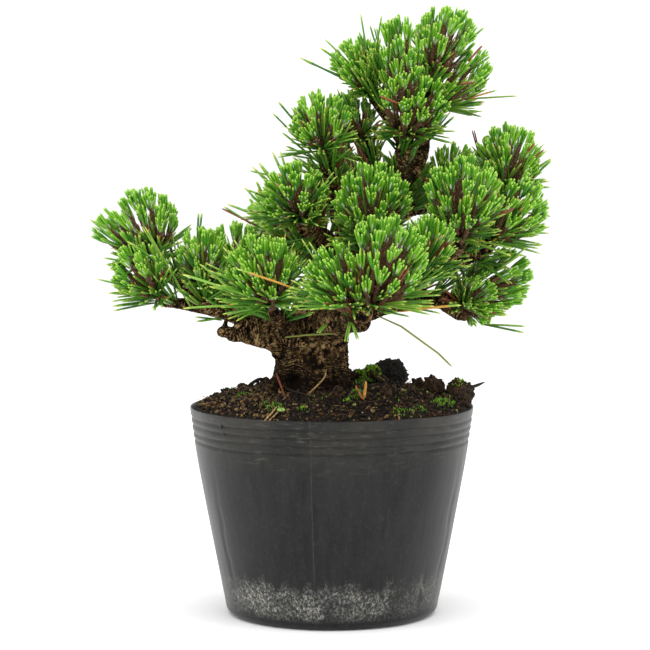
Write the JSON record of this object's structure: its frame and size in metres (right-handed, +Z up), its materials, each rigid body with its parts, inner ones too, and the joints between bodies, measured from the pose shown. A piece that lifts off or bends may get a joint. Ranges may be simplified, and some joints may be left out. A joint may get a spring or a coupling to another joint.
{
  "type": "potted japanese black pine bonsai",
  "caption": "Small trained black pine with a thick leaning trunk, spreading boughs and domed tufts of short needles, rooted in soil in a tapered black film nursery pot.",
  "frame": {"origin": "middle of the pot's flat underside", "axes": "+Z up, +X to the right and -Y towards the viewer of the side that is meant to be seen; the trunk leans towards +X"},
  "size_m": [0.2422, 0.1847, 0.3225],
  "materials": {
    "pot_film": "thin black film, scuffed, lime-stained near the foot",
    "soil": "moist fibrous peat and bark crumbs",
    "moss": "short moss on peat",
    "bark": "rough fissured plates",
    "needles": "satin needles in pairs"
  },
  "bodies": {
    "root": {"bough_apex_back": "bark", "bough_apex_left": "bark", "bough_back_high": "bark", "bough_back_left": "bark", "bough_back_right": "bark", "bough_centre_front": "bark", "bough_front": "bark", "bough_left": "bark", "bough_left_centre": "bark", "bough_left_high": "bark", "bough_left_mid": "bark", "bough_left_small": "bark", "bough_lower": "bark", "bough_right": "bark", "bough_right_crest": "bark", "bough_right_front": "bark", "bough_right_inner": "bark", "bough_right_top": "bark", "bough_shoulder_left": "bark", "bough_shoulder_low": "bark", "bough_stub": "bark", "bough_upper_inner": "bark", "bough_upper_outer": "bark", "moss_lump": "moss", "needles_apex_back": "needles", "needles_apex_front": "needles", "needles_apex_left": "needles", "needles_apex_mid": "needles", "needles_apex_right": "needles", "needles_apex_top": "needles", "needles_back_low_left": "needles", "needles_back_low_right": "needles", "needles_centre_back": "needles", "needles_centre_front": "needles", "needles_front_left": "needles", "needles_front_main": "needles", "needles_left_back": "needles", "needles_left_centre": "needles", "needles_left_high": "needles", "needles_left_low": "needles", "needles_left_mid": "needles", "needles_left_small": "needles", "needles_left_tip": "needles", "needles_lower_right": "needles", "needles_lower_tip": "needles", "needles_right_back": "needles", "needles_right_crest": "needles", "needles_right_front": "needles", "needles_right_inner": "needles", "needles_right_outer": "needles", "needles_right_top": "needles", "needles_shoulder_left": "needles", "needles_shoulder_low": "needles", "needles_upper_back": "needles", "needles_upper_inner": "needles", "needles_upper_outer": "needles", "peat_lump": "soil", "pot": "pot_film", "soil": "soil", "trunk": "bark"}
  },
  "joints": []
}
